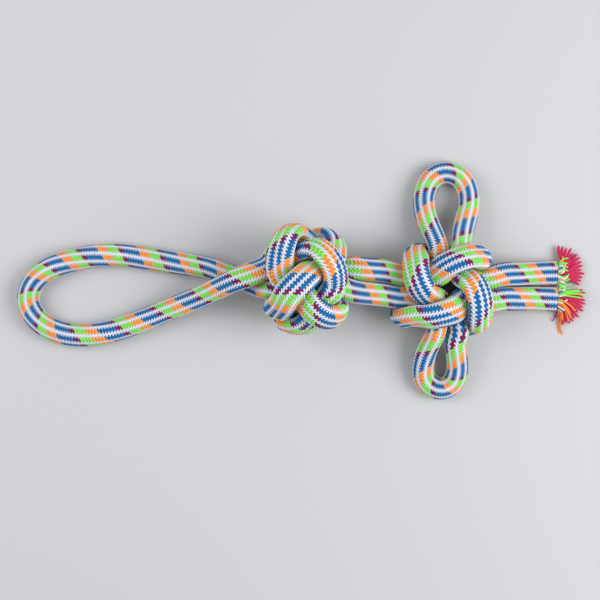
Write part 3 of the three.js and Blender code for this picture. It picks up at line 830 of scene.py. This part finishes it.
def tubeFaces(count, around):
    # ring and side of each quad of a tube, and its faces: quads, and a fan to a middle point on each end
    k, j = np.meshgrid(np.arange(count - 1), np.arange(around), indexing="ij")
    jn = (j + 1) % around
    quads = np.stack([k * around + j, k * around + jn, (k + 1) * around + jn, (k + 1) * around + j], -1)
    turn = np.arange(around)
    nextTurn = (turn + 1) % around
    last = (count - 1) * around
    startCap = np.stack([nextTurn, turn, np.full(around, count * around)], -1)
    endCap = np.stack([last + turn, last + nextTurn, np.full(around, count * around + 1)], -1)
    return k, j, [quads.reshape(-1, 4), startCap, endCap]


def quadPlaces(x0, x1, y0, y1):
    # map places of the four corners of each quad
    return np.stack([np.stack([x0, x0, x1, x1], -1), np.stack([y0, y1, y1, y0], -1)], -1).reshape(-1, 2)


def capPlaces(middle, radii, around, isEnd):
    # map places of the triangles that close one end of a tube
    turn = 2 * np.pi * np.arange(around) / around
    rim = middle + np.stack([np.cos(turn), np.sin(turn)], -1) * radii
    nextRim = np.roll(rim, -1, axis=0)
    pair = [rim, nextRim] if isEnd else [nextRim, rim]
    return np.stack([*pair, np.broadcast_to(middle, rim.shape)], 1).reshape(-1, 2)


coverMap = {  # how a length of cover lies on the map that its looks are baked to
    "square": 0.063,  # length of rope that is as long as it is round
    "margin": 0.01,
    "high": 0.97,
    "caps": [(0.1, 0.985), (0.2, 0.985)],
    "capRadius": 0.01,
}


def coverPiece(name, start, end, nodes):
    # a length of the cover between two rings, closed at both ends, with its maps
    v = coverMap
    rings = coverRings[start : end + 1]
    count, around = rings.shape[:2]
    k, j, faces = tubeFaces(count, around)
    u = stitches[start : end + 1]
    columns = braidValues["columns"] / around
    braidMap = quadPlaces(u[k], u[k + 1], j * columns, (j + 1) * columns)
    bands = max(1, round(math.sqrt((lengths[end] - lengths[start]) / v["square"])))
    perBand = math.ceil((count - 1) / bands)
    band = k // perBand
    x0 = (k - band * perBand) / perBand
    x0, x1 = (v["margin"] + (1 - 2 * v["margin"]) * x for x in (x0, x0 + 1 / perBand))
    y0, y1 = (v["margin"] + (1 - 2 * v["margin"]) * y / around for y in (j, j + 1))
    bakeMap = quadPlaces(x0, x1, (band + y0) / bands * v["high"], (band + y1) / bands * v["high"])
    caps = [capPlaces(middle, v["capRadius"], around, isEnd) for isEnd, middle in enumerate(v["caps"])]
    normals = ringNormals[start : end + 1].reshape(-1, 3)[faces[0].ravel()]
    made = meshFrom(
        name,
        np.vstack([rings.reshape(-1, 3), centres[start], centres[end]]),
        faces,
        np.vstack([braidMap, np.zeros((6 * around, 2))]),
        np.vstack([bakeMap, *caps]),
        cover,
        range(len(faces[0]), len(faces[0]) + 2 * around),
        np.vstack([normals, np.zeros((6 * around, 3))]),
    )
    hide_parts(*nodes)
    return made


def ringAt(stretch, share):
    # the ring at a share of a stretch's length
    inside = np.flatnonzero(stretchIds == stretchNames.index(stretch))
    ends = (max(0, inside[0] - 0.5), min(len(stretchIds) - 1, inside[-1] + 0.5))
    begins, stops = np.interp(ends, places, lengths)
    return int(round((begins + (stops - begins) * share) / ropeLength * (len(places) - 1)))


bends = {  # the two bodies, and where the bend between them starts and ends
    "tail_upper_flex": ("cross_knot", "tail_upper", (0.182, 0.005, 0.018), (0.212, 0.005, 0.018)),
    "tail_lower_flex": ("cross_knot", "tail_lower", (0.182, -0.017, 0.018), (0.212, -0.017, 0.018)),
    "top_ear_flex": ("cross_knot", "top_ear", (0.136, 0.040, 0.015), (0.136, 0.076, 0.015)),
    "bottom_ear_flex": ("cross_knot", "bottom_ear", (0.130, -0.049, 0.015), (0.130, -0.083, 0.015)),
    "waist_flex": ("ball_knot", "cross_knot", (0.049, 0, 0.036), (0.087, 0, 0.036)),
    "handle_flex": ("ball_knot", "handle", (-0.076, -0.004, 0.01), (-0.160, -0.004, 0.01)),
}
topEarNodes = ["top_ear_leg_left", "top_ear_tip", "top_ear_leg_right"]
bottomEarNodes = ["bottom_ear_leg_right", "bottom_ear_tip", "bottom_ear_leg_left"]
coverPieces = [  # name, stretch, shares from and to, nodes unless the stretch is one, and the body to follow, or a bend, which leaves the piece on no body
    ("cover_tail_lower", "tail_lower", 0, 1, ["tail_lower_end", "tail_lower_root"], "tail_lower_flex"),
    ("cover_arc_bottom", "cross_arc_bottom", 0, 1, None, "cross_knot"),
    ("cover_top_ear", "top_ear", 0, 1, topEarNodes, "top_ear_flex"),
    ("cover_arc_right", "cross_arc_right", 0, 1, None, "cross_knot"),
    ("cover_waist_lower", "waist_lower", 0, 1, None, "waist_flex"),
    ("cover_ball_back", "ball_strand_back", 0, 1, None, "ball_knot"),
    ("cover_handle_upper", "handle", 0, 0.33, ["handle_run_upper"], "handle_flex"),
    ("cover_handle_bend", "handle", 0.33, 0.67, ["handle_bend"], "handle"),
    ("cover_handle_lower", "handle", 0.67, 1, ["handle_run_lower"], "handle_flex"),
    ("cover_ball_front", "ball_strand_front", 0, 1, None, "ball_knot"),
    ("cover_waist_upper", "waist_upper", 0, 1, None, "waist_flex"),
    ("cover_arc_top", "cross_arc_top", 0, 1, None, "cross_knot"),
    ("cover_bottom_ear", "bottom_ear", 0, 1, bottomEarNodes, "bottom_ear_flex"),
    ("cover_arc_left", "cross_arc_left", 0, 1, None, "cross_knot"),
    ("cover_tail_upper", "tail_upper", 0, 1, ["tail_upper_root", "tail_upper_end"], "tail_upper_flex"),
]

for name, stretch, share0, share1, nodes, follows in coverPieces:
    start, end = ringAt(stretch, share0), ringAt(stretch, share1)
    piece = coverPiece(name, start, end, nodes or [stretch])
    if follows in bends:
        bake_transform(piece)
    else:
        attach(piece, follows)
print("cover laid in", len(coverPieces), "lengths")

# frayed ends
coreValues = {
    "colour": (205, 30, 85),
    "count": 14,
    "radius": 0.0016,
    "plies": 3,
    "lobe": 0.2,  # share of the radius by which its plies stand out
    "turns": 5,
    "taper": 0.75,
    "sides": 18,
    "rings": 60,
    "reach": 0.029,
    "shorter": 0.14,  # share by which the shortest yarn ends sooner
    "fans": {"tail_upper": (84, -24), "tail_lower": (20, -72)},  # degrees from the tail's line
    "startInside": 0.008,
    "startShare": 0.8,  # of the width at the cut
    "startHeight": 0.004,
    "cutWidth": 0.0092,
    "cutHeight": 0.006,
    "fanHeight": 0.0028,
    "leave": 0.007,  # first bend outside the cut
    "turnOut": 0.014,
    "turnShift": 0.003,
    "nearShare": 0.8,
    "droops": (0.001, 0.003, 0.0035),
}
looseValues = {
    "radius": 0.00085,
    "plies": 2,
    "lobe": 0.16,
    "turns": 5,
    "taper": 0.8,
    "sides": 10,
    "rings": 36,
    "rim": 0.0088,
    "colours": [
        (240, 238, 234), (130, 228, 80), (255, 148, 58), (0, 92, 162), (124, 14, 94), (244, 176, 186),
    ],
    "cutYarns": [0, 0, 0, 3, 0, 1, 0, 2, 0, 3, 0, 1, 0, 2, 0, 3, 0, 4, 0, 1, 0, 2],
    "cutReach": (0.0035, 0.0035),  # least, and how much more
    "cutLean": (0.5, 0.7),
    "cutStarts": [(-0.004, 0.0022), (-0.0005, 0.0012)],  # inside the cover: place, and depth under the rim
    "cutEnds": [(0.4, 0.2), (1, 0.6)],  # outside: shares of its reach ahead and outwards
    "lockStarts": [(-0.004, 0.75), (-0.0005, 0.88)],  # place, and share of the rim
    "lockSteps": 5,
    "lockLengths": (0.85, 0.3),
    "lockTurn": 0.45,  # share of its direction that a lock takes with each step
    "lockWander": 10,  # degrees
    "lockHeights": (0.75, 0.25),
    "droop": 0.0008,
    "sideDroop": 0.0018,  # more, for a lock that hangs at the side
    "sideFromOver": (55, 35),  # degrees
    "droopShares": (0.6, 0.8),
    "lowest": 0.001,
    "locks": {  # colour, yarns, place across from and to, direction from and to, length, curl
        "tail_upper": [
            (2, 4, 0.0085, 0.0055, 84, 50, 0.0125, 18),
            (1, 4, 0.0075, 0.001, 58, 10, 0.013, -55),
            (0, 3, 0.006, -0.003, 45, -30, 0.011, 60),
            (1, 4, 0.0, -0.008, 0, -48, 0.015, 50),
            (2, 1, -0.005, -0.006, -20, -30, 0.011, -40),
            (0, 2, -0.006, -0.0085, -40, -62, 0.01, 40),
        ],
        "tail_lower": [
            (1, 4, 0.0062, 0.003, 10, -4, 0.025, -3),
            (1, 3, 0.008, 0.002, 62, 20, 0.011, -50),
            (0, 2, 0.005, -0.003, 30, -20, 0.01, 45),
            (2, 6, -0.001, -0.0085, -26, -82, 0.019, -14),
            (2, 2, -0.008, -0.0088, -84, -92, 0.025, 10),
            (5, 3, -0.0085, -0.0088, -92, -118, 0.015, -30),
            (4, 1, -0.0087, -0.0088, -108, -112, 0.017, -16),
        ],
    },
}
tipShare, tipLeast = 1 / 14, 0.02  # of a yarn's length and width, at its rounded end
crimson = yarnMaterial("crimson_yarn", [(0.0, coreValues["colour"])] * 2, coreValues["count"])


def yarnTube(points, v):
    # a twisted yarn along a smooth curve
    curve = splineAt(points, np.linspace(0, len(points) - 1, v["rings"]))
    _, side, square = carriedFrames(curve)
    along = lengthsAlong(curve)
    share = along / along[-1]
    angle = 2 * np.pi * np.arange(v["sides"]) / v["sides"]
    twisted = angle[None, :] - 2 * np.pi * v["turns"] * share[:, None]
    lobes = 1 + v["lobe"] * np.cos(v["plies"] * twisted)
    size = v["radius"] * (1 + (v["taper"] - 1) * share)
    size = size * np.minimum(1, np.sqrt(np.clip((1 - share) / tipShare, tipLeast, 1)))
    rays = outwards(angle[None, :], side, square)
    rings = curve[:, None, :] + (size[:, None] * lobes)[:, :, None] * rays
    rings[:, :, 2] = np.maximum(rings[:, :, 2], ropeValues["floorGap"])
    return rings, along


laneMap = {  # how yarns lie side by side on the map that their looks are baked to
    "x": (0.02, 0.9),
    "y": (0.05, 0.9),
    "capX": (0.94, 0.97),
    "capRadii": (0.009, 0.3),
}


def joinedTubes(name, tubes, material):
    # one mesh from many closed tubes
    v = laneMap
    points, faces, braidMap, bakeMap = [], [], [], []
    first = 0
    lanes = len(tubes)
    for lane, (rings, along) in enumerate(tubes):
        count, around = rings.shape[:2]
        k, j, blocks = tubeFaces(count, around)
        points += [rings.reshape(-1, 3), rings[[0, -1]].mean(axis=1)]
        faces += [block + first for block in blocks]
        first += count * around + 2
        u = along * 1000 + yarnValues["laneLength"] * lane
        braidMap += [quadPlaces(u[k], u[k + 1], j / around, (j + 1) / around), np.zeros((6 * around, 2))]
        x = v["x"][0] + v["x"][1] * along / along[-1]
        y0, y1 = ((lane + v["y"][0] + v["y"][1] * y / around) / lanes for y in (j, j + 1))
        bakeMap.append(quadPlaces(x[k], x[k + 1], y0, y1))
        radii = np.array(v["capRadii"]) / lanes
        for isEnd, capX in enumerate(v["capX"]):
            bakeMap.append(capPlaces((capX, (lane + 0.5) / lanes), radii, around, isEnd))
    return meshFrom(name, np.vstack(points), faces, np.vstack(braidMap), np.vstack(bakeMap), material)


def tailEnd(tail):
    # where the cover is cut, the way out of it, across it and up
    at = 0 if tail == "tail_lower" else len(centres) - 1
    along = tangents[at] * (-1 if at == 0 else 1)
    across = np.cross([0, 0, 1.0], along)
    across /= np.linalg.norm(across)
    return centres[at], np.array([along, across, np.cross(along, across)])


def frayedCore(name, tail, nodes, seed):
    # core yarns that leave the cover's cut in a fan
    chance = random.Random(seed)
    v = coreValues
    place, axes = tailEnd(tail)
    fanFrom, fanTo = v["fans"][tail]
    tubes = []
    for i in range(v["count"]):
        f = i / (v["count"] - 1)
        turn = math.radians(fanFrom + (fanTo - fanFrom) * f)
        ahead, aside = math.cos(turn), math.sin(turn)
        reach = v["reach"] * (1 - v["shorter"] * chance.random())
        near = reach * v["nearShare"]
        high = v["fanHeight"] * (chance.random() - 0.5)
        spread = v["cutWidth"] * (0.5 - f)
        local = [
            (-v["startInside"], spread * v["startShare"], v["startHeight"] * (chance.random() - 0.5)),
            (0.0, spread, v["cutHeight"] * (chance.random() - 0.5)),
            (v["leave"], spread + v["leave"] * aside * 0.5, high),
            (v["turnOut"] * ahead + v["turnShift"], v["turnOut"] * aside, high - v["droops"][0]),
            (near * ahead, near * aside, high - v["droops"][1]),
            (reach * ahead, reach * aside, high - v["droops"][2]),
        ]
        tubes.append(yarnTube(place + np.array(local) @ axes, v))
    made = joinedTubes(name, tubes, crimson)
    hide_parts(*nodes)
    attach(made, tail)


def some(chance, pair):
    # a random value: the least, and a share of how much more
    return pair[0] + pair[1] * chance.random()


def cutYarns(chance):
    # short ends of the cover's yarns, all round the cut
    v = looseValues
    yarns = []
    for i, colour in enumerate(v["cutYarns"]):
        angle = 2 * math.pi * (i + chance.random()) / len(v["cutYarns"])
        lean = some(chance, v["cutLean"])
        reach = some(chance, v["cutReach"])
        sizes = [(ahead, v["rim"] - depth) for ahead, depth in v["cutStarts"]]
        sizes += [(reach * ahead, v["rim"] + lean * reach * out) for ahead, out in v["cutEnds"]]
        local = [(ahead, size * math.cos(angle), size * math.sin(angle)) for ahead, size in sizes]
        yarns.append((colour, local))
    return yarns


def lockYarns(chance, lock):
    # a lock of longer ends that lies over the core
    v = looseValues
    colour, count, placeFrom, placeTo, turnFrom, turnTo, length, curl = lock
    steps = v["lockSteps"]
    yarns = []
    for i in range(count):
        f = (i + 0.5) / count
        side = placeFrom + (placeTo - placeFrom) * f
        high = math.sqrt(max(0.0, v["rim"] ** 2 - side * side)) * some(chance, v["lockHeights"])
        turn = turnFrom + (turnTo - turnFrom) * f
        step = length * some(chance, v["lockLengths"]) / steps
        sideFrom, sideOver = v["sideFromOver"]
        droop = v["droop"] + v["sideDroop"] * max(0.0, abs(turn) - sideFrom) / sideOver
        local = [(ahead, side * inside, high * inside) for ahead, inside in v["lockStarts"]]
        x, y, z = 0.0, side, high
        for k in range(1, steps + 1):
            curled = curl * (2 * k / steps - 1)
            wander = v["lockWander"] * (chance.random() - 0.5)
            heading = math.radians(turn * min(1, v["lockTurn"] * k) + curled + wander)
            x += step * math.cos(heading)
            y += step * math.sin(heading)
            z = max(z - droop * some(chance, v["droopShares"]), v["lowest"] - v["rim"])
            local.append((x, y, z))
        yarns.append((colour, local))
    return yarns


def looseCover(name, tail, seed):
    # ends of the cover's yarns, sorted by colour so that one material can band them
    chance = random.Random(seed)
    place, axes = tailEnd(tail)
    yarns = cutYarns(chance)
    for lock in looseValues["locks"][tail]:
        yarns += lockYarns(chance, lock)
    yarns.sort(key=lambda yarn: yarn[0])
    firsts = {}
    for number, (colour, _) in enumerate(yarns):
        firsts.setdefault(colour, number)
    colours = looseValues["colours"]
    bands = [(max(0.0, (number - 0.5) / len(yarns)), colours[colour]) for colour, number in firsts.items()]
    tubes = [yarnTube(place + np.array(local) @ axes, looseValues) for _, local in yarns]
    made = joinedTubes(name, tubes, yarnMaterial(name, bands, len(yarns)))
    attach(made, tail)


frayedCore("core_yarns_upper", "tail_upper", ["core_upper"], 11)
frayedCore("core_yarns_lower", "tail_lower", ["core_lower"], 12)
looseCover("loose_yarns_upper", "tail_upper", 21)
looseCover("loose_yarns_lower", "tail_lower", 22)
print("ends frayed")
